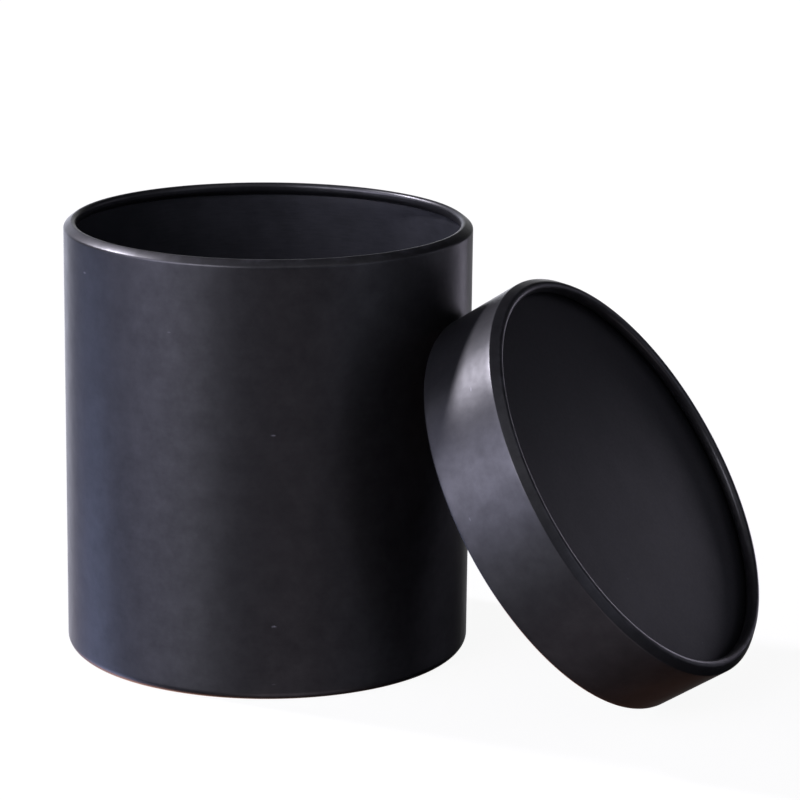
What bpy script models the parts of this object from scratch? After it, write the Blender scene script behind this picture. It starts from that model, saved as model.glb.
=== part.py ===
# Round flower bucket of wound paperboard with a slip-on lid, both with rolled edges.
# The bucket stands on its rolled foot. The lid is off: it stands on its mouth edge and leans on the wall.
# Metres, +Z up. The origin is on the floor, in the middle of the area that the two together cover,
# and the lid leans along +X.

from math import asin, cos, pi, radians, sin, tan

import bmesh
import bpy

# Driving dimensions

MM = 0.001

BUCKET_DIAMETER = 180.0 * MM  # over the paper
BUCKET_HEIGHT = 192.0 * MM
LID_HEIGHT = 39.0 * MM  # mouth edge to the top of the bead
LID_CLEARANCE = 1.1 * MM  # between the bucket's wall and the lid's lining, when the lid is on

BOARD = 1.5 * MM  # wound wall of the bucket and of the lid
PAPER = 0.2 * MM  # wraps, linings and facings
GLUE_GAP = 0.3 * MM  # between surfaces that are glued together or rest on each other

RIM_BEND = 0.75 * MM  # radius of the hollow in the bucket's rolled rim
FOOT_BEND = 2.0 * MM  # the same in its foot, which is rolled more loosely
LID_BEND = 1.1 * MM  # the same in the lid's bead
FOOT_FLAT = 2.0 * MM  # width of the ring that the foot is pressed flat on

BASE_BOARD = 2.0 * MM  # disc in the bottom of the bucket
PANEL_BOARD = 2.0 * MM  # disc in the top of the lid

SEAM_GAP = 0.6 * MM  # butt seam where a wound sheet's two edges meet
PAPER_SET_BACK = 0.2 * MM  # least height of a trimmed paper edge above what the board stands on

# Angles in degrees, and how finely round things are divided

EDGE_ROLL_TURN = 265.0  # how far round the rim and the bead are rolled, from the wall
FOOT_ROLL_TURN = 280.0
LID_AXIS_TILT = 33.6  # of the leaning lid's axis above the floor
TOWARDS_LID = 0.0  # heading of the bucket's side that the lid leans on
AWAY_FROM_LID = 180.0
LID_LOW_SIDE = 0.0  # heading, about the lid's own axis, of the side that meets the floor
LID_HIGH_SIDE = 180.0
SHARP_ANGLE = 50.0

STEP_COUNT = 56  # facets round the axis
ROLL_FACET_COUNT = 9  # round the rim and the bead
FOOT_COUNT_BEFORE_FLAT = 2  # facets of the foot on either side of its flat ring
FOOT_COUNT_AFTER_FLAT = 6  # facets from the flat ring to the tip of the roll

# Colours, roughness

BLACK_LAMINATE = (0.017, 0.017, 0.022), 0.38
BLACK_PAPER = (0.014, 0.014, 0.016), 0.62
MATT_FACING = (0.016, 0.016, 0.018), 0.55
BLACK_BOARD = (0.030, 0.029, 0.029), 0.85

# Sizes that follow from those above

skin = PAPER + GLUE_GAP
lean = radians(LID_AXIS_TILT)

bucket_radius = BUCKET_DIAMETER / 2
bucket_board_radius = bucket_radius - skin
bucket_bore = bucket_board_radius - BOARD - skin

lid_bore = bucket_radius + LID_CLEARANCE
lid_board_radius = lid_bore + skin + BOARD
lid_radius = lid_board_radius + skin

rim_roll = RIM_BEND + BOARD + skin
foot_roll = FOOT_BEND + BOARD + skin
lid_roll = LID_BEND + BOARD + skin

# A roll is drawn round its centre, given as (distance from the axis, height).
rim_centre = (bucket_radius - rim_roll, BUCKET_HEIGHT - rim_roll)
lid_centre = (lid_radius - lid_roll, LID_HEIGHT - lid_roll)

# The foot's board is squashed until its flat ring lies on the floor, and its paper ends above the floor.
foot_flat_angle = asin(FOOT_FLAT / 2 / (foot_roll - skin))
foot_centre = (bucket_radius - foot_roll, (foot_roll - skin) * cos(foot_flat_angle))
foot_paper_turn = asin((foot_centre[1] - PAPER_SET_BACK) / foot_roll)

# The leaning lid touches the floor and the wall with its board, so its wrap stops short of both.
lid_wrap_edge = skin * max(tan(lean), 1 / tan(lean)) + PAPER_SET_BACK

base_paper_bottom = foot_centre[1] + foot_roll - skin + GLUE_GAP
base_bottom = base_paper_bottom + PAPER + GLUE_GAP
base_lining_bottom = base_bottom + BASE_BOARD + GLUE_GAP
bucket_lining_top = rim_centre[1] - rim_roll - GLUE_GAP
base_radius = bucket_bore - GLUE_GAP

lid_lining_top = lid_centre[1] - lid_roll - GLUE_GAP
facing_bottom = lid_lining_top - PAPER
panel_bottom = facing_bottom - GLUE_GAP - PANEL_BOARD
panel_lining_bottom = panel_bottom - GLUE_GAP - PAPER
panel_radius = lid_bore - GLUE_GAP


# Profiles, each a list of (distance from the axis, height) that runs down the outer side

def arc(centre, radius, start, end, facets):
    """Points round a roll. Angles run from straight out, over the top, towards the axis."""
    turns = [start + (end - start) * i / facets for i in range(facets + 1)]
    return [(centre[0] + radius * cos(a), centre[1] + radius * sin(a)) for a in turns]


def rolled_edge(centre, radius):
    """The rim's or the bead's roll, from its tip at the wall, over the top and out to the wall."""
    return arc(centre, radius, radians(EDGE_ROLL_TURN), 0.0, ROLL_FACET_COUNT)


def pressed_foot(centre, radius):
    """The foot's roll: down to the flat ring, across it, and up again to its tip."""
    straight_down = pi / 2
    outside = arc(centre, radius, 0.0, foot_flat_angle - straight_down, FOOT_COUNT_BEFORE_FLAT)
    tip = radians(FOOT_ROLL_TURN)
    inside = arc(centre, radius, -foot_flat_angle - straight_down, -tip, FOOT_COUNT_AFTER_FLAT)
    return outside + inside


def bucket_tube_profile():
    board = rolled_edge(rim_centre, rim_roll - skin)
    return board + pressed_foot(foot_centre, foot_roll - skin)


def bucket_wrap_profile():
    paper = rolled_edge(rim_centre, rim_roll)
    return paper + arc(foot_centre, foot_roll, 0.0, -foot_paper_turn, FOOT_COUNT_BEFORE_FLAT)


def lid_band_profile():
    return rolled_edge(lid_centre, lid_roll - skin) + [(lid_board_radius, 0.0)]


def lid_wrap_profile():
    return rolled_edge(lid_centre, lid_roll) + [(lid_radius, lid_wrap_edge)]


# Where the two stand

lid_mouth_x = bucket_radius + GLUE_GAP + lid_board_radius * sin(lean)
lid_mouth_z = lid_board_radius * cos(lean)
lid_reach = max(r * sin(lean) + z * cos(lean) for r, z in lid_wrap_profile())
bucket_x = (bucket_radius - lid_mouth_x - lid_reach) / 2


# Making the pieces

def clear_scene():
    for obj in list(bpy.data.objects):
        bpy.data.objects.remove(obj)


def make_stand(name, place, tilt, collection):
    """An empty that carries one body's pieces, turned about Y by the tilt."""
    stand = bpy.data.objects.new(name, None)
    stand.empty_display_size = bucket_radius
    stand.location = place
    stand.rotation_euler.y = tilt
    collection.objects.link(stand)
    return stand


def give_material(obj, finish):
    colour, roughness = finish
    material = bpy.data.materials.new(obj.name)
    material.use_nodes = True
    shader = material.node_tree.nodes["Principled BSDF"]
    shader.inputs["Base Color"].default_value = (*colour, 1.0)
    shader.inputs["Roughness"].default_value = roughness
    shader.inputs["Metallic"].default_value = 0.0
    material.diffuse_color = (*colour, 1.0)
    obj.data.materials.append(material)


def place(obj, stand, finish):
    stand.users_collection[0].objects.link(obj)
    obj.parent = stand
    give_material(obj, finish)


def freeze_round(obj):
    """Replace a piece's profile by the turned and thickened mesh, shaded smooth but for its edges."""
    bpy.context.view_layer.update()
    shape = obj.evaluated_get(bpy.context.evaluated_depsgraph_get())
    mesh = bpy.data.meshes.new_from_object(shape)
    mesh.name = obj.name
    mesh.shade_smooth()
    mesh.set_sharp_from_angle(angle=radians(SHARP_ANGLE))
    obj.modifiers.clear()
    obj.data = mesh


def turn_sheet(name, profile, thickness, stand, finish, seam_heading=None):
    """A sheet turned about the axis, thickened inwards. With a heading, it has a butt seam there."""
    mesh = bpy.data.meshes.new(name)
    mesh.from_pydata([(r, 0.0, z) for r, z in profile], [(i, i + 1) for i in range(len(profile) - 1)], [])
    obj = bpy.data.objects.new(name, mesh)
    place(obj, stand, finish)

    widest = max(r for r, z in profile)
    seam_angle = 0.0 if seam_heading is None else SEAM_GAP / widest
    turn = obj.modifiers.new("turn", "SCREW")
    turn.axis = "Z"
    turn.angle = 2 * pi - seam_angle
    turn.steps = STEP_COUNT
    turn.render_steps = STEP_COUNT
    turn.use_merge_vertices = seam_heading is None
    turn.merge_threshold = PAPER / STEP_COUNT
    wall = obj.modifiers.new("wall", "SOLIDIFY")
    wall.thickness = thickness
    wall.offset = -1.0
    wall.use_even_offset = True
    freeze_round(obj)
    if seam_heading is not None:
        obj.rotation_euler.z = radians(seam_heading) + seam_angle / 2
    return obj


def cut_disc(name, radius, bottom, thickness, stand, finish):
    """A die-cut disc of board or paper, lying level in its body."""
    mesh = bpy.data.meshes.new(name)
    shape = bmesh.new()
    bmesh.ops.create_cone(
        shape, cap_ends=True, segments=STEP_COUNT, radius1=radius, radius2=radius, depth=thickness
    )
    shape.to_mesh(mesh)
    shape.free()
    mesh.shade_smooth()
    mesh.set_sharp_from_angle(angle=radians(SHARP_ANGLE))
    obj = bpy.data.objects.new(name, mesh)
    obj.location.z = bottom + thickness / 2
    place(obj, stand, finish)
    return obj


def wall_lining(name, bore, top, bottom, stand, seam_heading):
    outside = bore + PAPER
    profile = [(outside, top), (outside, bottom)]
    return turn_sheet(name, profile, PAPER, stand, BLACK_PAPER, seam_heading)


def build_bucket(stand):
    turn_sheet("bucket_tube", bucket_tube_profile(), BOARD, stand, BLACK_BOARD)
    turn_sheet("bucket_outer_wrap", bucket_wrap_profile(), PAPER, stand, BLACK_LAMINATE, AWAY_FROM_LID)
    wall_lining("bucket_lining", bucket_bore, bucket_lining_top, base_paper_bottom, stand, TOWARDS_LID)
    cut_disc("base_underside_paper", base_radius, base_paper_bottom, PAPER, stand, BLACK_PAPER)
    cut_disc("base_disc", base_radius, base_bottom, BASE_BOARD, stand, BLACK_BOARD)
    cut_disc("base_lining", base_radius, base_lining_bottom, PAPER, stand, BLACK_PAPER)


def build_lid(stand):
    """The lid stands mouth down in its own frame, and its stand leans it."""
    turn_sheet("lid_band", lid_band_profile(), BOARD, stand, BLACK_BOARD)
    turn_sheet("lid_outer_wrap", lid_wrap_profile(), PAPER, stand, BLACK_LAMINATE, LID_LOW_SIDE)
    wall_lining("lid_lining", lid_bore, lid_lining_top, 0.0, stand, LID_HIGH_SIDE)
    cut_disc("lid_panel_facing", panel_radius, facing_bottom, PAPER, stand, MATT_FACING)
    cut_disc("lid_panel", panel_radius, panel_bottom, PANEL_BOARD, stand, BLACK_BOARD)
    cut_disc("lid_panel_lining", panel_radius, panel_lining_bottom, PAPER, stand, BLACK_PAPER)


def main():
    clear_scene()
    collection = bpy.data.collections.new("flower_bucket")
    bpy.context.scene.collection.children.link(collection)
    build_bucket(make_stand("bucket_stand", (bucket_x, 0.0, 0.0), 0.0, collection))
    mouth = (bucket_x + lid_mouth_x, 0.0, lid_mouth_z)
    build_lid(make_stand("lid_lift", mouth, pi / 2 - lean, collection))


main()
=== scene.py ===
import math

import bpy
import numpy as np
from mathutils import Matrix, Vector


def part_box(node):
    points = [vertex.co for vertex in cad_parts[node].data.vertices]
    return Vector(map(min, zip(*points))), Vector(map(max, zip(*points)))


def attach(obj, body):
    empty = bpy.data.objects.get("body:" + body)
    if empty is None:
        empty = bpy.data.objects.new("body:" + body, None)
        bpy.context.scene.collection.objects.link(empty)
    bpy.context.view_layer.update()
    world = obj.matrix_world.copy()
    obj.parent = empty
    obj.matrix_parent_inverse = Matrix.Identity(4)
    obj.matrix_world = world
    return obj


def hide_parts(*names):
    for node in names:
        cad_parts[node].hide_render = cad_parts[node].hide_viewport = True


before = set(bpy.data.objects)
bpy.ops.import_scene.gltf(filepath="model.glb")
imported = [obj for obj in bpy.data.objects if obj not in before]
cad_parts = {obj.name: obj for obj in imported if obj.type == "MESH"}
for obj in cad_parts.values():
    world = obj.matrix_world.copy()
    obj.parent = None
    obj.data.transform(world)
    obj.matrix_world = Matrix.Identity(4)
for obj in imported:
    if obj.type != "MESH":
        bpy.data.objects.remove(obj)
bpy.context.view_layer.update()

mm = 0.001
print("frame loaded,", len(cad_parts), "nodes")

# Where the two bodies stand, from the frame's sizes: the bucket upright, the lid leaning on it

leaningLid = {
    "axisTilt": 33.6,  # degrees of the lid's axis above the floor
    "restGap": 0.3,  # mm between the lid's mouth edge and the bucket's wall
}

tubeLow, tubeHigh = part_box("bucket_tube")
bandLow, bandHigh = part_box("lid_band")
wrapLow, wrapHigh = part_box("bucket_outer_wrap")
skirtLow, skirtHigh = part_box("lid_outer_wrap")

bucketBoard = (tubeHigh.y - tubeLow.y) / 2
bucketRadius = (wrapHigh.y - wrapLow.y) / 2
bucketHeight = wrapHigh.z
bucketAxis = (tubeHigh.x + tubeLow.x) / 2
lidBoard = (bandHigh.y - bandLow.y) / 2
lidRadius = (skirtHigh.y - skirtLow.y) / 2
skin = bucketRadius - bucketBoard  # paper and its glue

tilt = math.radians(leaningLid["axisTilt"])
lidMouth = Vector((
    bucketAxis + bucketRadius + leaningLid["restGap"] * mm + lidBoard * math.sin(tilt),
    0.0,
    lidBoard * math.cos(tilt),
))

# Each body's own frame, as the matrix that takes a piece drawn upright on its axis to its place
seats = {
    "bucket": Matrix.Translation((bucketAxis, 0, 0)),
    "lid": Matrix.Translation(lidMouth) @ Matrix.Rotation(math.pi / 2 - tilt, 4, "Y"),
}


# Shapes: a section in (distance from the axis, height), carried round the axis

fineness = {
    "longArc": 0.25,  # of an arc's step, on a bead's long arc, which turns by a few degrees only
    "edgePoints": 4,  # in each quarter of a sheet's edge
    "edgeClear": 1.4,  # edge radii at each end of a sheet that hold no other points
    "freeEdge": (-1.0, 0.0, 0.5, 1.0, 2.0),  # columns at a lap's free edge, in widths of its step
    "easeOut": 6,  # columns where a lap eases out
    "columnGap": 0.3,  # least mm from those columns to an even one
    "sharpAngle": 50.0,  # degrees between two faces from which their edge is sharp
}


def arcPoints(centre, radius, start, end, step):
    # Points round a centre, with turns in degrees: across = centre + radius cos(turn), and
    # up = centre + radius sin(turn)
    turns = np.radians(np.linspace(start, end, int(round(abs(end - start) / step)) + 1))
    return np.column_stack((centre[0] + radius * np.cos(turns), centre[1] + radius * np.sin(turns)))


def linePoints(start, end, step):
    # Even points start x (1 - share) + end x share between two ends, with the ends left out
    count = max(int(np.hypot(end[0] - start[0], end[1] - start[1]) / step), 2)
    share = np.linspace(0, 1, count + 1)[1:-1, None]
    return np.asarray(start) * (1 - share) + np.asarray(end) * share


def rolledEdge(centre, roll, bead, inside, step):
    # A rolled edge from its tip to the wall, as arcs that run on into each other: a circle of the roll's
    # radius from the tip to its inner side, a quarter up to the ridge, a small arc over the ridge, a long
    # one down the pressed outer side, and a short one into the wall. The long arc's radius comes from the
    # outer side's depth, and the quarter's from the width that is left. Each radius is less by what the
    # sheet lies inside.
    upper, lower = math.radians(bead["upperSlope"]), math.radians(bead["lowerSlope"])
    ridge, corner = bead["ridge"] * mm, bead["corner"] * mm
    outer = bead["depth"] * mm - ridge * (1 - math.sin(upper)) - corner * math.sin(lower)
    side = outer / (math.sin(upper) - math.sin(lower))
    width = ridge * math.cos(upper) + side * (math.cos(lower) - math.cos(upper))
    width += corner * (1 - math.cos(lower))
    ridgeAcross = roll - width
    inner = roll + ridgeAcross
    ridgeAt = np.array([ridgeAcross, roll - ridge])
    sideAt = ridgeAt + (ridge - side) * np.array([math.cos(upper), math.sin(upper)])
    cornerAt = sideAt + (side - corner) * np.array([math.cos(lower), math.sin(lower)])
    longStep = step * fineness["longArc"]
    path = np.vstack((
        arcPoints((0.0, 0.0), roll - inside, bead["rollTurn"], 180.0, step),
        arcPoints((ridgeAcross, roll - inner), inner - inside, 180.0, 90.0, step),
        arcPoints(ridgeAt, ridge - inside, 90.0, bead["upperSlope"], step)[1:],
        arcPoints(sideAt, side - inside, bead["upperSlope"], bead["lowerSlope"], longStep)[1:],
        arcPoints(cornerAt, corner - inside, bead["lowerSlope"], 0.0, step)[1:],
    ))
    return path + np.asarray(centre)


def sheetSection(path, thickness, edgeRound):
    # The path is one face of the sheet. The other is the path moved by the thickness to its right-hand
    # side. Both end in quarter circles of the edge radius, joined by the flat of the sheet's edge.
    steps = np.hypot(*np.diff(path, axis=0).T)
    along = np.concatenate(([0.0], np.cumsum(steps)))
    clear = fineness["edgeClear"] * edgeRound
    keep = (along > clear) & (along < along[-1] - clear)
    ends = np.array([edgeRound, along[-1] - edgeRound])
    near = np.column_stack([np.interp(ends, along, path[:, k]) for k in (0, 1)])
    face = np.vstack((near[:1], path[keep], near[1:]))
    run = np.gradient(face, axis=0)
    run /= np.hypot(*run.T)[:, None]
    inward = np.column_stack((run[:, 1], -run[:, 0]))
    quarter = np.radians(np.linspace(0, 90, fineness["edgePoints"]))[:, None]

    def edge(point, out, into):
        first = point + into * edgeRound + edgeRound * (out * np.sin(quarter) - into * np.cos(quarter))
        second = point + into * (thickness - edgeRound)
        second = second + edgeRound * (out * np.cos(quarter) + into * np.sin(quarter))
        return np.vstack((first[1:], second[:-1]))

    farEdge = edge(face[-1], run[-1], inward[-1])
    nearEdge = edge(face[0], -run[0], inward[0])[::-1]
    return np.vstack((face, farEdge, (face + inward * thickness)[::-1], nearEdge))


def meshFromGrids(name, points, grids):
    # Each grid is (corner indices, corner UVs) of faces with the same number of corners
    mesh = bpy.data.meshes.new(name)
    corners = np.concatenate([index.ravel() for index, _ in grids]).astype(np.int32)
    uvs = np.concatenate([uv.reshape(-1, 2) for _, uv in grids]).astype(np.float32)
    sizes = np.concatenate([np.full(len(index), index.shape[1]) for index, _ in grids]).astype(np.int32)
    mesh.vertices.add(len(points))
    mesh.vertices.foreach_set("co", points.astype(np.float32).ravel())
    mesh.loops.add(len(corners))
    mesh.loops.foreach_set("vertex_index", corners)
    mesh.polygons.add(len(sizes))
    mesh.polygons.foreach_set("loop_start", np.concatenate(([0], np.cumsum(sizes)[:-1])).astype(np.int32))
    mesh.polygons.foreach_set("loop_total", sizes)
    layer = mesh.uv_layers.new(name="sheetMillimetres")
    layer.data.foreach_set("uv", uvs.ravel())
    mesh.update(calc_edges=True)
    mesh.validate()
    return mesh


def roundHeadings(columns, radius, lap=None):
    # Even headings 2 pi k / columns, and closer ones at a lap's free edge and where the lap eases out
    even = 2 * math.pi * np.arange(columns) / columns
    if lap is None:
        return even
    free = np.array(fineness["freeEdge"]) * lap["edge"]
    tail = lap["width"] + np.linspace(0, 1, fineness["easeOut"]) * lap["ease"]
    close = (math.radians(lap["heading"]) + np.concatenate((free, tail)) * mm / radius) % (2 * math.pi)
    apart = np.abs((even[:, None] - close + math.pi) % (2 * math.pi) - math.pi).min(axis=1)
    return np.sort(np.concatenate((even[apart > fineness["columnGap"] * mm / radius], close)))


def turnedPiece(name, seat, section, columns, lap=None, disc=False, unevenness=None):
    # Carries a section round the axis: (r, h) at heading t goes to (r cos t, r sin t, h), with
    # unevenness(t, r, h) added to r and h. A disc's section starts and ends on the axis, where each end
    # becomes one point with a fan of triangles round it.
    headings = roundHeadings(columns, section[:, 0].max(), lap)
    columns = len(headings)
    t, r = np.meshgrid(headings, section[:, 0], indexing="ij")
    h = np.broadcast_to(section[:, 1], t.shape)
    if unevenness:
        wide, high = unevenness(t, r, h)
        r, h = r + wide, h + high
    points = np.stack((r * np.cos(t), r * np.sin(t), h), axis=-1)
    index = np.arange(points.shape[0] * points.shape[1]).reshape(points.shape[:2])

    # Corners of the face between column i and the next, and between row j and the next
    rows = len(section)
    between = np.arange(1, rows - 2) if disc else np.arange(rows)
    i, j = np.meshgrid(np.arange(columns), between, indexing="ij")
    i, j = i.ravel(), j.ravel()
    column, row = (i + 1) % columns, (j + 1) % rows
    along = np.append(0.0, np.cumsum(np.hypot(*np.diff(np.vstack((section, section[:1])), axis=0).T)))
    u = np.append(headings, headings[0] + 2 * math.pi) * section[:, 0].max() / mm
    v = along / mm
    quads = np.stack((index[i, j], index[column, j], index[column, row], index[i, row]), axis=1)
    quadUvs = np.stack((u[i], v[j], u[i + 1], v[j], u[i + 1], v[j + 1], u[i], v[j + 1]), axis=1)
    grids = [(quads, quadUvs.reshape(-1, 4, 2))]
    if disc:
        i = np.arange(columns)
        column = (i + 1) % columns
        low = np.stack((np.full(columns, index[0, 0]), index[column, 1], index[i, 1]), axis=1)
        high = np.stack((index[i, -2], index[column, -2], np.full(columns, index[0, -1])), axis=1)
        lowUvs = np.stack((u[i], v[0] + 0 * i, u[i + 1], v[1] + 0 * i, u[i], v[1] + 0 * i), axis=1)
        highUvs = np.stack((u[i], v[-3] + 0 * i, u[i + 1], v[-3] + 0 * i, u[i], v[-2] + 0 * i), axis=1)
        grids += [(low, lowUvs.reshape(-1, 3, 2)), (high, highUvs.reshape(-1, 3, 2))]

    # The corners run outwards if the quads enclose a positive volume, and otherwise they are turned round
    flat = points.reshape(-1, 3)
    a, b, c, d = (flat[quads[:, k]] for k in range(4))
    if np.einsum("ij,ij", np.cross(b - a, d - a), a) + np.einsum("ij,ij", np.cross(d - c, b - c), c) < 0:
        grids = [(corner[:, ::-1], uv[:, ::-1]) for corner, uv in grids]

    if disc:
        keep = np.ones(len(flat), dtype=bool)
        keep[index[1:, (0, -1)]] = False
        number = np.cumsum(keep) - 1
        flat = flat[keep]
        grids = [(number[corner], uv) for corner, uv in grids]
    mesh = meshFromGrids(name, flat, grids)
    mesh.transform(seats[seat])
    mesh.shade_smooth()
    mesh.set_sharp_from_angle(angle=math.radians(fineness["sharpAngle"]))
    piece = bpy.data.objects.new(name, mesh)
    bpy.context.scene.collection.objects.link(piece)
    return piece


def finishPiece(piece, body, node, material):
    # Puts a finished piece on its body, in the place of its CAD node
    piece.data.materials.append(material)
    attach(piece, body)
    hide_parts(node)
    print(piece.name, "made,", len(piece.data.polygons), "faces")


# Materials

def linearColour(hexValue):
    # An sRGB hex value as the linear colour that nodes take
    parts = [int(hexValue[k:k + 2], 16) / 255 for k in (1, 3, 5)]
    return (*[p / 12.92 if p <= 0.04045 else ((p + 0.055) / 1.055) ** 2.4 for p in parts], 1.0)


def fillInputs(tree, node, inputs):
    # Links each named input to the socket that is given, or sets it to the value
    for name, value in inputs.items():
        if isinstance(value, bpy.types.NodeSocket):
            tree.links.new(value, node.inputs[name])
        else:
            node.inputs[name].default_value = value


def addNode(tree, kind, inputs=None, **settings):
    # Adds one node with its settings, and fills or links each input that is named
    node = tree.nodes.new(kind)
    for name, value in settings.items():
        setattr(node, name, value)
    fillInputs(tree, node, inputs or {})
    return node


def newMaterial(name):
    material = bpy.data.materials.new(name)
    material.use_nodes = True
    tree = material.node_tree
    return material, tree, tree.nodes["Principled BSDF"]


# Grades of noise: how many octaves, and how strong each is against the one before
noiseGrades = {
    "swell": {"Detail": 2.0, "Roughness": 0.45},
    "crispSwell": {"Detail": 3.0, "Roughness": 0.45},
    "tooth": {"Detail": 2.0, "Roughness": 0.5},
    "grain": {"Detail": 3.0, "Roughness": 0.6},
    "fibres": {"Detail": 3.0, "Roughness": 0.65},
    "clouds": {"Detail": 4.0, "Roughness": 0.6},
    "fineClouds": {"Detail": 5.0, "Roughness": 0.6},
    "patches": {"Detail": 5.0, "Roughness": 0.7},
}


def paperRelief(tree, stock, swellFactor, toothFactor):
    # The wide shallow swell of a glued sheet, with the fine tooth of its surface on top
    swell = addNode(tree, "ShaderNodeBump", {
        "Height": swellFactor, "Strength": 1.0, "Distance": stock["swellHeight"] * mm})
    tooth = addNode(tree, "ShaderNodeBump", {
        "Height": toothFactor, "Strength": 1.0, "Distance": stock["toothHeight"] * mm,
        "Normal": swell.outputs["Normal"]})
    return tooth.outputs["Normal"]


# Sizes and heights in the materials are mm. A spread is how far a noise is followed to each side of its
# middle, and a core is the share of a scuff's or speck's radius that has its full strength.

# Black paper with a satin film laminated on it, on the wraps of bucket and lid. The film's shine is a fairly
# tight glow with a wider haze round it. The glow's width wavers slowly, and its strength changes in soft
# clouds, in a fine grain and along faint lines left by the winding. The paper under the film swells a
# little, there are a few pale scuffs, and the crest of the bead is worn paler in patches.
satinFilm = {
    "colour": "#0a0a0c", "cloudColour": "#0f0f11", "ior": 1.49,
    "smoothest": 0.30, "roughest": 0.36, "haze": 0.38, "hazeRoughness": 0.55,
    "faintest": 0.35, "strongest": 0.65, "shineSpread": 0.3,  # of the shine's strength
    "cloudSize": 9.0, "grainSize": 2.2, "grainShare": 0.35,
    "lineLength": 45.0, "lineWidth": 2.5, "lineShare": 0.2,
    "swellHeight": 0.22, "swellSize": 14.0, "swellSpread": 0.25,
    "toothHeight": 0.006, "toothSize": 1.2,  # the film's real tooth is finer than 0.1 mm: drawn coarser
    "scuffColour": "#85858d", "scuffLength": 26.0, "scuffSpacing": 9.0,
    "scuffSize": 0.055, "scuffCore": 0.4, "scuffStrength": 0.3,  # size as a share of length and spacing
    "scuffShare": 0.3,  # of the places for a scuff that have one
    "crest": 9.0, "crestReach": 3.0,  # its way from the sheet's rolled-in edge, and the wear to each side
    "wornColour": "#2c2c30", "wornSize": 5.0, "wornFrom": 0.48, "wornTo": 0.68,
}


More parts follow.
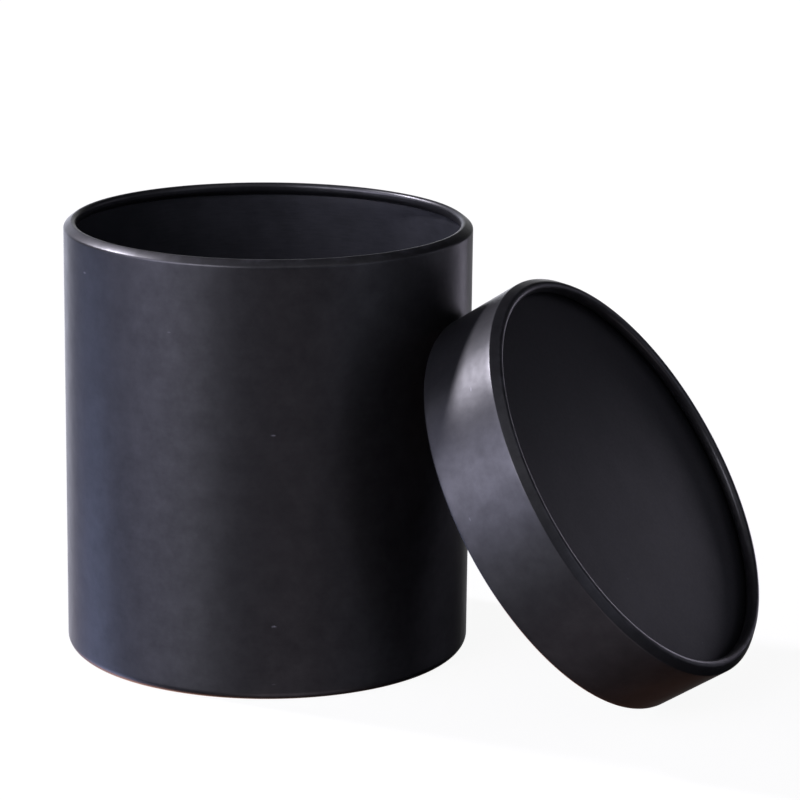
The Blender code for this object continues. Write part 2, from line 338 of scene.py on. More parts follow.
def satinLaminatedPaper(name, film):
    material, tree, shader = newMaterial(name)
    place = addNode(tree, "ShaderNodeTexCoord").outputs["Object"]
    sheet = addNode(tree, "ShaderNodeUVMap", uv_map="sheetMillimetres").outputs["UV"]
    clouds = addNode(tree, "ShaderNodeTexNoise", {
        "Vector": place, "Scale": 1 / (film["cloudSize"] * mm), **noiseGrades["clouds"]})
    grain = addNode(tree, "ShaderNodeTexNoise", {
        "Vector": place, "Scale": 1 / (film["grainSize"] * mm), **noiseGrades["grain"]})
    stretched = addNode(tree, "ShaderNodeVectorMath", {
        0: sheet, 1: (1 / film["lineLength"], 1 / film["lineWidth"], 1.0)}, operation="MULTIPLY")
    lines = addNode(tree, "ShaderNodeTexNoise", {
        "Vector": stretched.outputs["Vector"], "Scale": 1.0, **noiseGrades["grain"]})

    # Roughness follows the wide swell, and the strength of the shine the clouds, the grain and the lines
    swell = addNode(tree, "ShaderNodeTexNoise", {
        "Vector": place, "Scale": 1 / (film["swellSize"] * mm), **noiseGrades["swell"]})
    rough = addNode(tree, "ShaderNodeMapRange", {
        "Value": swell.outputs["Fac"],
        "From Min": 0.5 - film["swellSpread"], "From Max": 0.5 + film["swellSpread"],
        "To Min": film["smoothest"], "To Max": film["roughest"]})
    mottle = addNode(tree, "ShaderNodeMath", {
        0: grain.outputs["Fac"], 1: film["grainShare"], 2: clouds.outputs["Fac"]},
        operation="MULTIPLY_ADD")
    mottle = addNode(tree, "ShaderNodeMath", {
        0: lines.outputs["Fac"], 1: film["lineShare"], 2: mottle.outputs[0]}, operation="MULTIPLY_ADD")
    middle = (1 + film["grainShare"] + film["lineShare"]) / 2
    shine = addNode(tree, "ShaderNodeMapRange", {
        "Value": mottle.outputs[0],
        "From Min": middle - film["shineSpread"], "From Max": middle + film["shineSpread"],
        "To Min": film["faintest"], "To Max": film["strongest"]})

    # Scuffs: short pale strokes along the sheet, in some of the cells of a stretched Voronoi pattern
    scuffPlace = addNode(tree, "ShaderNodeVectorMath", {
        0: sheet, 1: (1 / film["scuffLength"], 1 / film["scuffSpacing"], 1.0)}, operation="MULTIPLY")
    cells = addNode(tree, "ShaderNodeTexVoronoi", {"Vector": scuffPlace.outputs["Vector"], "Scale": 1.0})
    chosen = addNode(tree, "ShaderNodeSeparateColor", {"Color": cells.outputs["Color"]})
    chosen = addNode(tree, "ShaderNodeMath", {
        0: chosen.outputs[0], 1: film["scuffShare"]}, operation="LESS_THAN")
    scuff = addNode(tree, "ShaderNodeMapRange", {
        "Value": cells.outputs["Distance"], "To Max": film["scuffStrength"],
        "From Min": film["scuffSize"], "From Max": film["scuffSize"] * film["scuffCore"]})
    scuff = addNode(tree, "ShaderNodeMath", {
        0: scuff.outputs["Result"], 1: chosen.outputs[0]}, operation="MULTIPLY")

    # Wear on the crest of the bead, which lies a fixed way from the sheet's rolled-in edge
    across = addNode(tree, "ShaderNodeSeparateXYZ", {0: sheet})
    off = addNode(tree, "ShaderNodeMath", {
        0: across.outputs["Y"], 1: film["crest"]}, operation="SUBTRACT")
    off = addNode(tree, "ShaderNodeMath", {0: off.outputs[0]}, operation="ABSOLUTE")
    crest = addNode(tree, "ShaderNodeMapRange", {
        "Value": off.outputs[0], "From Min": film["crestReach"], "From Max": 0.0})
    patches = addNode(tree, "ShaderNodeTexNoise", {
        "Vector": place, "Scale": 1 / (film["wornSize"] * mm), **noiseGrades["patches"]})
    patches = addNode(tree, "ShaderNodeMapRange", {
        "Value": patches.outputs["Fac"], "From Min": film["wornFrom"], "From Max": film["wornTo"]})
    worn = addNode(tree, "ShaderNodeMath", {
        0: crest.outputs["Result"], 1: patches.outputs["Result"]}, operation="MULTIPLY")

    colour = addNode(tree, "ShaderNodeMix", {
        "Factor": clouds.outputs["Fac"], "A": linearColour(film["colour"]),
        "B": linearColour(film["cloudColour"])}, data_type="RGBA")
    colour = addNode(tree, "ShaderNodeMix", {
        "Factor": worn.outputs[0], "A": colour.outputs["Result"],
        "B": linearColour(film["wornColour"])}, data_type="RGBA")
    colour = addNode(tree, "ShaderNodeMix", {
        "Factor": scuff.outputs[0], "A": colour.outputs["Result"],
        "B": linearColour(film["scuffColour"])}, data_type="RGBA")
    tooth = addNode(tree, "ShaderNodeTexNoise", {
        "Vector": place, "Scale": 1 / (film["toothSize"] * mm), **noiseGrades["tooth"]})
    fillInputs(tree, shader, {
        "Base Color": colour.outputs["Result"], "Roughness": rough.outputs["Result"],
        "Specular IOR Level": shine.outputs["Result"], "IOR": film["ior"],
        "Coat Weight": film["haze"], "Coat Roughness": film["hazeRoughness"],
        "Normal": paperRelief(tree, film, swell.outputs["Fac"], tooth.outputs["Fac"])})
    return material


# Black paper with a matt film, on the lid's panel: a flat broad sheen, faint clouds and a few tiny specks
mattFilm = {
    "colour": "#0f0f11", "cloudColour": "#131316", "ior": 1.44,
    "smoothest": 0.42, "roughest": 0.50, "mottleSpread": 0.25,
    "cloudSize": 22.0, "grainSize": 1.4, "swellHeight": 0.10, "swellSize": 24.0,
    "toothHeight": 0.006, "toothSize": 1.0,  # drawn coarser than the film's real tooth
    "speckColour": "#8a8a90", "speckSpacing": 13.0, "speckSize": 0.9, "speckCore": 0.4,
    "speckStrength": 0.3, "speckShare": 0.4,  # the share of the places for a speck that have one
}


def mattLaminatedPaper(name, film):
    material, tree, shader = newMaterial(name)
    place = addNode(tree, "ShaderNodeTexCoord").outputs["Object"]
    clouds = addNode(tree, "ShaderNodeTexNoise", {
        "Vector": place, "Scale": 1 / (film["cloudSize"] * mm), **noiseGrades["fineClouds"]})
    grain = addNode(tree, "ShaderNodeTexNoise", {
        "Vector": place, "Scale": 1 / (film["grainSize"] * mm), **noiseGrades["grain"]})
    mottle = addNode(tree, "ShaderNodeMath", {0: clouds.outputs["Fac"], 1: grain.outputs["Fac"]})
    rough = addNode(tree, "ShaderNodeMapRange", {
        "Value": mottle.outputs[0],
        "From Min": 1 - film["mottleSpread"], "From Max": 1 + film["mottleSpread"],
        "To Min": film["smoothest"], "To Max": film["roughest"]})

    # Specks: round pale dots, in some of the cells of a Voronoi pattern
    cells = addNode(tree, "ShaderNodeTexVoronoi", {
        "Vector": place, "Scale": 1 / (film["speckSpacing"] * mm)})
    chosen = addNode(tree, "ShaderNodeSeparateColor", {"Color": cells.outputs["Color"]})
    chosen = addNode(tree, "ShaderNodeMath", {
        0: chosen.outputs[0], 1: film["speckShare"]}, operation="LESS_THAN")
    edge = film["speckSize"] / film["speckSpacing"] / 2
    speck = addNode(tree, "ShaderNodeMapRange", {
        "Value": cells.outputs["Distance"], "To Max": film["speckStrength"],
        "From Min": edge, "From Max": edge * film["speckCore"]})
    speck = addNode(tree, "ShaderNodeMath", {
        0: speck.outputs["Result"], 1: chosen.outputs[0]}, operation="MULTIPLY")
    colour = addNode(tree, "ShaderNodeMix", {
        "Factor": clouds.outputs["Fac"], "A": linearColour(film["colour"]),
        "B": linearColour(film["cloudColour"])}, data_type="RGBA")
    colour = addNode(tree, "ShaderNodeMix", {
        "Factor": speck.outputs[0], "A": colour.outputs["Result"],
        "B": linearColour(film["speckColour"])}, data_type="RGBA")

    swell = addNode(tree, "ShaderNodeTexNoise", {
        "Vector": place, "Scale": 1 / (film["swellSize"] * mm), **noiseGrades["swell"]})
    tooth = addNode(tree, "ShaderNodeTexNoise", {
        "Vector": place, "Scale": 1 / (film["toothSize"] * mm), **noiseGrades["tooth"]})
    fillInputs(tree, shader, {
        "Base Color": colour.outputs["Result"], "Roughness": rough.outputs["Result"], "IOR": film["ior"],
        "Normal": paperRelief(tree, film, swell.outputs["Fac"], tooth.outputs["Fac"])})
    return material


# Black dyed uncoated paper, on the insides: nearly no shine, and soft fibre lines that run round the wall
linerStock = {
    "colour": "#1f2023", "fibreColour": "#292a2e", "specular": 0.22,
    "smoothest": 0.48, "roughest": 0.60, "mottleSpread": 0.25, "cloudSize": 12.0,
    "fibreLength": 7.0, "fibreWidth": 0.7, "toothHeight": 0.012,  # drawn wider than the real fibres
    "swellHeight": 0.10, "swellSize": 18.0,
}


def dyedLiningPaper(name, stock):
    material, tree, shader = newMaterial(name)
    place = addNode(tree, "ShaderNodeTexCoord").outputs["Object"]
    clouds = addNode(tree, "ShaderNodeTexNoise", {
        "Vector": place, "Scale": 1 / (stock["cloudSize"] * mm), **noiseGrades["clouds"]})
    stretched = addNode(tree, "ShaderNodeVectorMath", {
        0: place, 1: [1 / (stock[k] * mm) for k in ("fibreLength", "fibreLength", "fibreWidth")]},
        operation="MULTIPLY")
    fibres = addNode(tree, "ShaderNodeTexNoise", {
        "Vector": stretched.outputs["Vector"], "Scale": 1.0, **noiseGrades["fibres"]})

    # Where the clouds and the fibres are palest, the paper is also roughest
    mottle = addNode(tree, "ShaderNodeMath", {0: clouds.outputs["Fac"], 1: fibres.outputs["Fac"]})
    share = addNode(tree, "ShaderNodeMapRange", {
        "Value": mottle.outputs[0],
        "From Min": 1 - stock["mottleSpread"], "From Max": 1 + stock["mottleSpread"]})
    colour = addNode(tree, "ShaderNodeMix", {
        "Factor": share.outputs["Result"], "A": linearColour(stock["colour"]),
        "B": linearColour(stock["fibreColour"])}, data_type="RGBA")
    rough = addNode(tree, "ShaderNodeMapRange", {
        "Value": share.outputs["Result"], "To Min": stock["smoothest"], "To Max": stock["roughest"]})
    swell = addNode(tree, "ShaderNodeTexNoise", {
        "Vector": place, "Scale": 1 / (stock["swellSize"] * mm), **noiseGrades["crispSwell"]})
    fillInputs(tree, shader, {
        "Base Color": colour.outputs["Result"], "Roughness": rough.outputs["Result"],
        "Specular IOR Level": stock["specular"],
        "Normal": paperRelief(tree, stock, swell.outputs["Fac"], fibres.outputs["Fac"])})
    return material


# Black dyed greyboard, pressed from recycled fibre: dull, with paler flecks of fibre in it
boardStock = {
    "colour": "#201f1f", "cloudColour": "#2b2a2a", "cloudSize": 8.0, "cloudSpread": 0.2,
    "smoothest": 0.80, "roughest": 0.90,
    "fleckColour": "#4a4845", "fleckSize": 1.1, "fleckFrom": 0.62, "fleckTo": 0.72,
    "toothHeight": 0.03, "toothSize": 0.8,
}


def pressedGreyboard(name, stock):
    material, tree, shader = newMaterial(name)
    place = addNode(tree, "ShaderNodeTexCoord").outputs["Object"]
    clouds = addNode(tree, "ShaderNodeTexNoise", {
        "Vector": place, "Scale": 1 / (stock["cloudSize"] * mm), **noiseGrades["clouds"]})
    flecks = addNode(tree, "ShaderNodeTexNoise", {
        "Vector": place, "Scale": 1 / (stock["fleckSize"] * mm), **noiseGrades["tooth"]})
    share = addNode(tree, "ShaderNodeMapRange", {
        "Value": flecks.outputs["Fac"], "From Min": stock["fleckFrom"], "From Max": stock["fleckTo"]})
    colour = addNode(tree, "ShaderNodeMix", {
        "Factor": clouds.outputs["Fac"], "A": linearColour(stock["colour"]),
        "B": linearColour(stock["cloudColour"])}, data_type="RGBA")
    colour = addNode(tree, "ShaderNodeMix", {
        "Factor": share.outputs["Result"], "A": colour.outputs["Result"],
        "B": linearColour(stock["fleckColour"])}, data_type="RGBA")
    rough = addNode(tree, "ShaderNodeMapRange", {
        "Value": clouds.outputs["Fac"],
        "From Min": 0.5 - stock["cloudSpread"], "From Max": 0.5 + stock["cloudSpread"],
        "To Min": stock["smoothest"], "To Max": stock["roughest"]})
    toothNoise = addNode(tree, "ShaderNodeTexNoise", {
        "Vector": place, "Scale": 1 / (stock["toothSize"] * mm), **noiseGrades["grain"]})
    tooth = addNode(tree, "ShaderNodeBump", {
        "Height": toothNoise.outputs["Fac"], "Strength": 1.0, "Distance": stock["toothHeight"] * mm})
    fillInputs(tree, shader, {
        "Base Color": colour.outputs["Result"], "Roughness": rough.outputs["Result"],
        "Normal": tooth.outputs["Normal"]})
    return material


satinWrapPaper = satinLaminatedPaper("satinLaminatedPaper", satinFilm)
facingPaper = mattLaminatedPaper("mattLaminatedPaper", mattFilm)
liningPaper = dyedLiningPaper("blackDyedLiningPaper", linerStock)
dyedBoard = pressedGreyboard("blackDyedGreyboard", boardStock)
print("materials made")


# Bucket

woundBoard = 1.5  # mm of board in the bucket's wall and the lid's band

bucketRim = {
    "bend": 0.75, "rollTurn": 265.0,  # mm inside the roll, degrees from the wall's outer side to its tip
    # The outer side is pressed to a slope: degrees above level that it faces at its top and at its bottom,
    # mm that it reaches down, and mm of radius where it meets the ridge and the wall
    "upperSlope": 58.0, "lowerSlope": 47.0, "depth": 3.3, "ridge": 0.7, "corner": 1.6,
}
rimRoll = (bucketRim["bend"] + woundBoard) * mm + skin
rimCentre = (bucketRadius - rimRoll, bucketHeight - rimRoll)

bucketFoot = {"bend": 2.0, "rollTurn": 280.0, "flat": 2.0}  # flat: mm of the roll's width that lies level
footRoll = (bucketFoot["bend"] + woundBoard) * mm + skin
flatAngle = math.asin(bucketFoot["flat"] * mm / 2 / (footRoll - skin))
footCentre = (bucketRadius - footRoll, (footRoll - skin) * math.cos(flatAngle))


def pressedFoot(radius, floor, step):
    # The foot's roll, a circle run under the wall to its tip, with what would lie below the floor pressed
    # flat
    roll = arcPoints(footCentre, radius, 0.0, -bucketFoot["rollTurn"], step)
    roll[:, 1] = np.maximum(roll[:, 1], floor)
    return roll


def smoothStep(x):
    # 0 below 0, 1 above 1, and 3x^2 - 2x^3 between
    x = np.clip(x, 0, 1)
    return x * x * (3 - 2 * x)


wallWaves = {
    "counts": (3, 5, 8, 13, 21, 34),  # waves round the wall
    "sizes": (1.0, 0.7, 0.5, 0.3, 0.2, 0.12),  # of each, against the first
    "slide": 25.0,  # most radians that a wave's phase slides in a metre of height
}


def wallUnevenness(waver, lap):
    # A wound wall's slow waver, the sum of size x sin(count x heading + phase + slide x height), and the lap
    # of its paper: over the lap's width the sheet lies one sheet higher, stepping down at its free edge and
    # easing out at the other. The step fades out towards the bead and the foot.
    rng = np.random.default_rng(waver["seed"])
    counts = wallWaves["counts"]
    sizes = waver["strength"] * mm * np.array(wallWaves["sizes"])
    phases = rng.uniform(0, 2 * math.pi, len(counts))
    slides = rng.uniform(-wallWaves["slide"], wallWaves["slide"], len(counts))

    def unevenness(t, r, h):
        wide = sum(s * np.sin(n * t + p + k * h) for n, s, p, k in zip(counts, sizes, phases, slides))
        past = ((t - math.radians(lap["heading"]) + math.pi) % (2 * math.pi) - math.pi) * r / mm
        lifted = smoothStep(past / lap["edge"]) * (1 - smoothStep((past - lap["width"]) / lap["ease"]))
        full = smoothStep((h / mm - lap["low"]) / lap["fade"])
        full = full * smoothStep((lap["high"] - h / mm) / lap["fade"])
        return wide + lifted * full * lap["rise"] * mm, np.zeros_like(h)
    return unevenness


# Thicknesses and steps along a wall are mm, and steps round an arc degrees. A lap's heading is in degrees
# from +X, towards +Y, and the rest of it mm: its width and where it eases out, the width and height of the
# step at its free edge, and the heights between which it lies and fades.
bucketWrap = {
    "paper": 0.2, "edgeRound": 0.08, "columns": 288, "wallStep": 3.5, "rimStep": 6.0, "footStep": 7.0,
    "waver": {"strength": 0.03, "seed": 11},
    "lap": {"heading": 180.0, "width": 12.0, "ease": 5.0, "edge": 0.15, "rise": 0.12,
            "low": 4.0, "high": 185.0, "fade": 8.0},
}
rimEdge = rolledEdge(rimCentre, rimRoll, bucketRim, 0.0, bucketWrap["rimStep"])
wrapPath = np.vstack((
    rimEdge,
    linePoints(rimEdge[-1], (bucketRadius, footCentre[1]), bucketWrap["wallStep"] * mm),
    pressedFoot(footRoll, 0.0, bucketWrap["footStep"]),
))
wrap = turnedPiece(
    "bucket_wrap_paper", "bucket",
    sheetSection(wrapPath, bucketWrap["paper"] * mm, bucketWrap["edgeRound"] * mm),
    bucketWrap["columns"], lap=bucketWrap["lap"],
    unevenness=wallUnevenness(bucketWrap["waver"], bucketWrap["lap"]))
finishPiece(wrap, "bucket", "bucket_outer_wrap", satinWrapPaper)

bucketTube = {"edgeRound": 0.3, "columns": 144, "wallStep": 20.0, "arcStep": 10.0}
tubeRim = rolledEdge(rimCentre, rimRoll, bucketRim, skin, bucketTube["arcStep"])
tubePath = np.vstack((
    tubeRim,
    linePoints(tubeRim[-1], (bucketBoard, footCentre[1]), bucketTube["wallStep"] * mm),
    pressedFoot(footRoll - skin, skin, bucketTube["arcStep"]),
))
tube = turnedPiece(
    "bucket_board_tube", "bucket",
    sheetSection(tubePath, woundBoard * mm, bucketTube["edgeRound"] * mm), bucketTube["columns"])
finishPiece(tube, "bucket", "bucket_tube", dyedBoard)


def liningSheet(name, seat, node, sheet, heights):
    # A plain ring of paper on the inside of a wall, with its CAD node's radius and the heights given
    low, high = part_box(node)
    radius = (high.y - low.y) / 2
    top, bottom = (radius, heights[1]), (radius, heights[0])
    path = np.vstack(([top], linePoints(top, bottom, sheet["wallStep"] * mm), [bottom]))
    piece = turnedPiece(
        name, seat, sheetSection(path, sheet["paper"] * mm, sheet["edgeRound"] * mm), sheet["columns"],
        lap=sheet["lap"], unevenness=wallUnevenness(sheet["waver"], sheet["lap"]))
    finishPiece(piece, seat, node, liningPaper)


def heightsOf(node, seat):
    # Lowest and highest point of a CAD node along its body's axis
    inverse = seats[seat].inverted()
    heights = [(inverse @ v.co).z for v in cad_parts[node].data.vertices]
    return min(heights), max(heights)


bucketLining = {
    "paper": 0.35, "edgeRound": 0.1, "columns": 288, "wallStep": 4.0,
    "waver": {"strength": 0.03, "seed": 12},
    "lap": {"heading": 0.0, "width": 10.0, "ease": 5.0, "edge": 0.15, "rise": -0.12,
            "low": 8.0, "high": 184.0, "fade": 2.0},
}
liningSheet(
    "bucket_lining_paper", "bucket", "bucket_lining", bucketLining,
    heightsOf("bucket_lining", "bucket"))


# Discs of paper, inside and under the bottom and on both sides of the lid's panel

def discSection(radius, low, high, shape):
    # From the axis out along the lower face, round the edge, and back to the axis along the upper face. The
    # edge is half a circle as high as the disc is thick, squeezed across to the edge radius.
    edgeRound = shape["edgeRound"] * mm
    rings = np.linspace(0, radius - edgeRound, int(radius / (shape["ringStep"] * mm)) + 1)
    middle = (low + high) / 2
    edge = arcPoints((radius - edgeRound, middle), (high - low) / 2, -90, 90, shape["arcStep"])
    edge[:, 0] = radius - edgeRound + (edge[:, 0] - radius + edgeRound) * 2 * edgeRound / (high - low)
    return np.vstack((
        np.column_stack((rings[:-1], np.full(len(rings) - 1, low))), edge,
        np.column_stack((rings[:-1], np.full(len(rings) - 1, high)))[::-1],
    ))


def paperCockle(cockle, seed):
    # A shallow cockle of a glued disc: the mean of a few waves sin(2 pi x way across it / spacing + phase),
    # each in a direction of its own, fading to nothing at the edge
    rng = np.random.default_rng(seed)
    count = cockle["waves"]
    turns = rng.uniform(0, 2 * math.pi, (2, count))
    spacing = rng.uniform(cockle["shortest"], cockle["longest"], count) * mm

    def unevenness(t, r, h):
        x, y = r * np.cos(t), r * np.sin(t)
        high = sum(
            np.sin(2 * math.pi * (x * math.cos(a) + y * math.sin(a)) / s + p)
            for a, p, s in zip(turns[0], turns[1], spacing))
        fade = np.clip(cockle["fade"] * (1 - r / r.max()), 0, 1)
        return np.zeros_like(r), high * cockle["strength"] * mm / count * fade
    return unevenness


paperDiscs = {  # node: name, body, slot, material, seed of its cockle
    "base_lining": ("bucket_floor_paper", "bucket", "lining_paper", liningPaper, 21),
    "base_underside_paper": ("bucket_underside_paper", "bucket", "lining_paper", liningPaper, 22),
    "lid_panel_facing": ("lid_top_facing", "lid", "matt_facing", facingPaper, 23),
    "lid_panel_lining": ("lid_inside_facing", "lid", "lining_paper", liningPaper, 24),
}
discShape = {"ringStep": 4.0, "arcStep": 30.0, "edgeRound": 0.1, "columns": 144}
discCockle = {"strength": 0.05, "waves": 7, "shortest": 18.0, "longest": 60.0, "fade": 1.3}
for node, (name, seat, slot, material, seed) in paperDiscs.items():
    low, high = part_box(node)
    heights = heightsOf(node, seat)
    section = discSection((high.y - low.y) / 2, *heights, discShape)
    disc = turnedPiece(
        name, seat, section, discShape["columns"], disc=True, unevenness=paperCockle(discCockle, seed))
    finishPiece(disc, seat, node, material)


# Lid

lidBead = {  # as the bucket's rim, and the height of its crest above the mouth edge
    "bend": 1.1, "rollTurn": 265.0, "height": 39.0,
    "upperSlope": 43.0, "lowerSlope": 41.0, "depth": 3.7, "ridge": 2.0, "corner": 0.9,
}
lidRoll = (lidBead["bend"] + woundBoard) * mm + skin
lidCentre = (lidRadius - lidRoll, lidBead["height"] * mm - lidRoll)
lidBore = lidBoard - woundBoard * mm

lidWrap = {
    "paper": 0.16, "edgeRound": 0.07, "columns": 288, "wallStep": 2.0, "beadStep": 6.0, "mouthStep": 15.0,
    "mouthRound": 1.1, "turnedIn": 0.6,  # the wrap goes round the mouth edge and ends just inside it
    "waver": {"strength": 0.03, "seed": 13},
    "lap": {"heading": 0.0, "width": 12.0, "ease": 5.0, "edge": 0.15, "rise": 0.12,
            "low": 2.0, "high": 33.0, "fade": 4.0},
}
mouthRound = lidWrap["mouthRound"] * mm
mouthStep = lidWrap["mouthStep"]
beadEdge = rolledEdge(lidCentre, lidRoll, lidBead, 0.0, lidWrap["beadStep"])
skirtPath = np.vstack((
    beadEdge,
    linePoints(beadEdge[-1], (lidRadius, mouthRound), lidWrap["wallStep"] * mm),
    arcPoints((lidRadius - mouthRound, mouthRound), mouthRound, 0.0, -90.0, mouthStep),
    arcPoints((lidBore + lidWrap["turnedIn"] * mm, mouthRound), mouthRound, -90.0, -180.0, mouthStep),
))
skirt = turnedPiece(
    "lid_wrap_paper", "lid", sheetSection(skirtPath, lidWrap["paper"] * mm, lidWrap["edgeRound"] * mm),
    lidWrap["columns"], lap=lidWrap["lap"], unevenness=wallUnevenness(lidWrap["waver"], lidWrap["lap"]))
finishPiece(skirt, "lid", "lid_outer_wrap", satinWrapPaper)

lidBand = {"edgeRound": 0.7, "mouth": 0.5, "columns": 144, "wallStep": 12.0, "arcStep": 10.0}
bandBead = rolledEdge(lidCentre, lidRoll, lidBead, skin, lidBand["arcStep"])
bandPath = np.vstack((
    bandBead,
    linePoints(bandBead[-1], (lidBoard, lidBand["mouth"] * mm), lidBand["wallStep"] * mm),
    [(lidBoard, lidBand["mouth"] * mm)],
))
band = turnedPiece(
    "lid_board_band", "lid",
    sheetSection(bandPath, woundBoard * mm, lidBand["edgeRound"] * mm), lidBand["columns"])
finishPiece(band, "lid", "lid_band", dyedBoard)

lidLining = {
    "paper": 0.3, "edgeRound": 0.1, "columns": 288, "wallStep": 4.0, "mouth": 1.2,
    "waver": {"strength": 0.03, "seed": 14},
    "lap": {"heading": 180.0, "width": 10.0, "ease": 5.0, "edge": 0.15, "rise": -0.12,
            "low": 2.0, "high": 32.0, "fade": 2.0},
}
liningSheet(
    "lid_lining_paper", "lid", "lid_lining", lidLining,
    (lidLining["mouth"] * mm, heightsOf("lid_lining", "lid")[1]))

# The two discs of board that nothing shows keep their CAD shape
for node in ("base_disc", "lid_panel"):
    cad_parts[node].data.materials.clear()
    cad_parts[node].data.materials.append(dyedBoard)
print("pieces made")


# Camera

cameraView = {
    "lens": 150.18, "sensor": 36.0,  # mm
    "nearest": 0.05, "farthest": 20.0,  # metres
    "distance": 1.44286, "height": 0.47965,  # metres from the bucket's axis and above the floor
    "heading": 26.769, "yaw": 2.332, "pitch": 14.364, "roll": 0.710,  # degrees
}


def placeCamera(view):
    # The camera stands before the bucket's axis and looks along +Y, turned by yaw and pitch, then by roll
    # about where it looks. All of that is then turned round the axis by the heading.
    heading, yaw, pitch, roll = (math.radians(view[k]) for k in ("heading", "yaw", "pitch", "roll"))
    ahead = Vector((math.sin(yaw) * math.cos(pitch), math.cos(yaw) * math.cos(pitch), -math.sin(pitch)))
    right = Vector((math.cos(yaw), -math.sin(yaw), 0))
    up = right.cross(ahead)
    rolledRight = math.cos(roll) * right + math.sin(roll) * up
    rolledUp = math.cos(roll) * up - math.sin(roll) * right
    turn = Matrix.Rotation(heading, 3, "Z")
    axes = Matrix([turn @ rolledRight, turn @ rolledUp, -(turn @ ahead)]).transposed()
    camera = bpy.data.objects.new("camera", bpy.data.cameras.new("camera"))
    camera.data.lens = view["lens"]
    camera.data.sensor_width = view["sensor"]
    camera.data.clip_start = view["nearest"]
    camera.data.clip_end = view["farthest"]
    stand = turn @ Vector((0, -view["distance"], 0)) + Vector((bucketAxis, 0, view["height"]))
    camera.matrix_world = Matrix.Translation(stand) @ axes.to_4x4()
    bpy.context.scene.collection.objects.link(camera)
    bpy.context.scene.camera = camera


placeCamera(cameraView)
print("camera placed")


# Floor and studio

def direction(azimuth, height):
    # Unit vector towards a place in degrees: azimuth 0 is -Y and +90 is +X, height 90 is straight up
    a, e = math.radians(azimuth), math.radians(height)
    return Vector((math.sin(a) * math.cos(e), -math.cos(a) * math.cos(e), math.sin(e)))


# The key is a compact lamp to the left, high enough to throw the bucket's shadow over half of the lid's
# skirt
keyLight = {"azimuth": -90.0, "height": 39.0, "across": 5.0, "strength": 3.3, "colour": "#f3efff"}


def placeKey(light):
    lamp = bpy.data.objects.new("keyLight", bpy.data.lights.new("keyLight", "SUN"))
    lamp.data.energy = light["strength"]
    lamp.data.angle = math.radians(light["across"])
    lamp.data.color = linearColour(light["colour"])[:3]
    lamp.rotation_euler = direction(light["azimuth"], light["height"]).to_track_quat("Z", "Y").to_euler()
    bpy.context.scene.collection.objects.link(lamp)


placeKey(keyLight)

# A soft box behind the object on the right, which lights the lid's panel more strongly towards its lower
# right. Its beam is narrow, so that the bucket gets little of it.
softBox = {
    "place": (0.19, 0.52, 0.04), "aim": (0.17, 0.05, 0.04), "size": 0.2,  # metres
    "power": 0.023, "spread": 50.0, "colour": "#efe9ff",  # watts, degrees
}


def placeSoftBox(box):
    lamp = bpy.data.objects.new("softBox", bpy.data.lights.new("softBox", "AREA"))
    lamp.data.shape = "DISK"
    lamp.data.size = box["size"]
    lamp.data.energy = box["power"]
    lamp.data.spread = math.radians(box["spread"])
    lamp.data.color = linearColour(box["colour"])[:3]
    lamp.visible_camera = False
    lamp.location = box["place"]
    lamp.rotation_euler = (Vector(box["place"]) - Vector(box["aim"])).to_track_quat("Z", "Y").to_euler()
    bpy.context.scene.collection.objects.link(lamp)


placeSoftBox(softBox)

# Soft lights round the object. Each is brightest at its middle and falls off smoothly:
# radiance = strength x colour x exp(tightness x (cos(angle from the middle) - 1))
softLights = {
    "leftPanel": {"azimuth": -40, "height": 17, "tightness": 30, "strength": 2.4, "colour": "#f2ecff"},
    "leftGlow": {"azimuth": -40, "height": 12, "tightness": 11, "strength": 3.4, "colour": "#dcdcff"},
    "frontLeftHigh": {"azimuth": -14, "height": 27, "tightness": 42, "strength": 9.0, "colour": "#f3f0ff"},
    "frontLow": {"azimuth": -16, "height": -21, "tightness": 25, "strength": 0.85, "colour": "#f3f3ff"},
    "floorGlowRight": {"azimuth": 40, "height": -46, "tightness": 13, "strength": 1.0, "colour": "#fff0ff"},
    "floorGlowBack": {"azimuth": -125, "height": -49, "tightness": 25, "strength": 2.8, "colour": "#ffbaa0"},
    "floorGlowLeft": {"azimuth": -90, "height": -33, "tightness": 25, "strength": 3.0, "colour": "#bccbff"},
    "backLeft": {"azimuth": -135, "height": -6, "tightness": 20, "strength": 1.4, "colour": "#e5e9ff"},
    "backRight": {"azimuth": 136, "height": 4, "tightness": 25, "strength": 0.5, "colour": "#e9e6ff"},
    "rightHigh": {"azimuth": 60, "height": 55, "tightness": 10, "strength": 0.7, "colour": "#f3f2ff"},
    "right": {"azimuth": 78, "height": 8, "tightness": 25, "strength": 1.1, "colour": "#e2e5ff"},
}
backdrop = {"azimuth": -153, "height": -5, "tightness": 20, "colour": "#ffffff"}


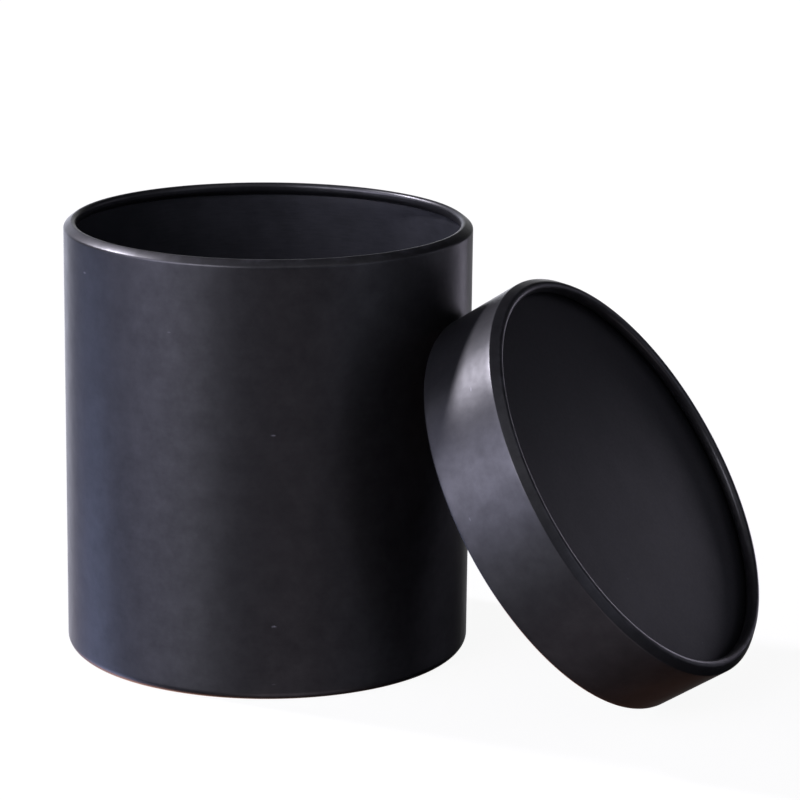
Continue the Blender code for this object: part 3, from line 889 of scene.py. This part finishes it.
def lightStudio(lights, screen):
    # The world is the sum of the soft lights. The white screen behind the object is seen by camera rays in
    # every direction, and by glossy and transmission rays where it would stand.
    world = bpy.data.worlds.new("studio")
    bpy.context.scene.world = world
    world.use_nodes = True
    tree = world.node_tree
    ray = addNode(tree, "ShaderNodeTexCoord").outputs["Generated"]
    path = addNode(tree, "ShaderNodeLightPath").outputs

    def glow(light):
        toward = addNode(tree, "ShaderNodeVectorMath", {
            0: ray, 1: direction(light["azimuth"], light["height"])}, operation="DOT_PRODUCT")
        power = addNode(tree, "ShaderNodeMath", {
            0: toward.outputs["Value"], 1: light["tightness"], 2: -light["tightness"]},
            operation="MULTIPLY_ADD")
        return addNode(tree, "ShaderNodeMath", {0: power.outputs[0]}, operation="EXPONENT").outputs[0]

    shown = addNode(tree, "ShaderNodeMath", {
        0: path["Is Glossy Ray"], 1: path["Is Transmission Ray"]}, operation="MAXIMUM")
    share = addNode(tree, "ShaderNodeMath", {0: shown.outputs[0], 1: glow(screen)}, operation="MULTIPLY")
    white = linearColour(screen["colour"])
    total = addNode(tree, "ShaderNodeVectorMath", {
        0: white[:3], "Scale": share.outputs[0]}, operation="SCALE")
    for light in lights.values():
        colour = Vector(linearColour(light["colour"])[:3]) * light["strength"]
        part = addNode(tree, "ShaderNodeVectorMath", {0: colour, "Scale": glow(light)}, operation="SCALE")
        total = addNode(tree, "ShaderNodeVectorMath", {
            0: total.outputs["Vector"], 1: part.outputs["Vector"]}, operation="ADD")
    seen = addNode(tree, "ShaderNodeMix", {
        "Factor": path["Is Camera Ray"], "A": total.outputs["Vector"], "B": white}, data_type="RGBA")
    fillInputs(tree, tree.nodes["Background"], {"Color": seen.outputs["Result"], "Strength": 1.0})


lightStudio(softLights, backdrop)

# Plain pale paper floor. Camera rays see it almost as white as the backdrop, with the object's shadow kept:
# they see its own white, and only a share of its colour lit by the lamps.
floorShape = {
    "size": 6.0, "colour": "#e6e6e6", "roughness": 0.9, "specular": 0.0,
    "ownColour": "#ffffff", "ownWhite": 0.93, "litShare": 0.12,
}


def layFloor(shape):
    half = shape["size"] / 2
    mesh = bpy.data.meshes.new("floor")
    corners = [(-half, -half, 0), (half, -half, 0), (half, half, 0), (-half, half, 0)]
    mesh.from_pydata(corners, [], [(0, 1, 2, 3)])
    floor = bpy.data.objects.new("floor", mesh)
    floor.visible_glossy = False  # glossy rays see the floor's glow among the soft lights instead
    bpy.context.scene.collection.objects.link(floor)
    material, tree, shader = newMaterial("paleFloorPaper")
    path = addNode(tree, "ShaderNodeLightPath").outputs
    pale = linearColour(shape["colour"])
    faint = (*[c * shape["litShare"] for c in pale[:3]], 1.0)
    colour = addNode(tree, "ShaderNodeMix", {
        "Factor": path["Is Camera Ray"], "A": pale, "B": faint}, data_type="RGBA")
    own = addNode(tree, "ShaderNodeMath", {
        0: path["Is Camera Ray"], 1: shape["ownWhite"]}, operation="MULTIPLY")
    fillInputs(tree, shader, {
        "Base Color": colour.outputs["Result"], "Roughness": shape["roughness"],
        "Specular IOR Level": shape["specular"],
        "Emission Color": linearColour(shape["ownColour"]), "Emission Strength": own.outputs[0]})
    mesh.materials.append(material)


layFloor(floorShape)
bpy.context.scene.view_settings.view_transform = "Standard"
print("studio made")
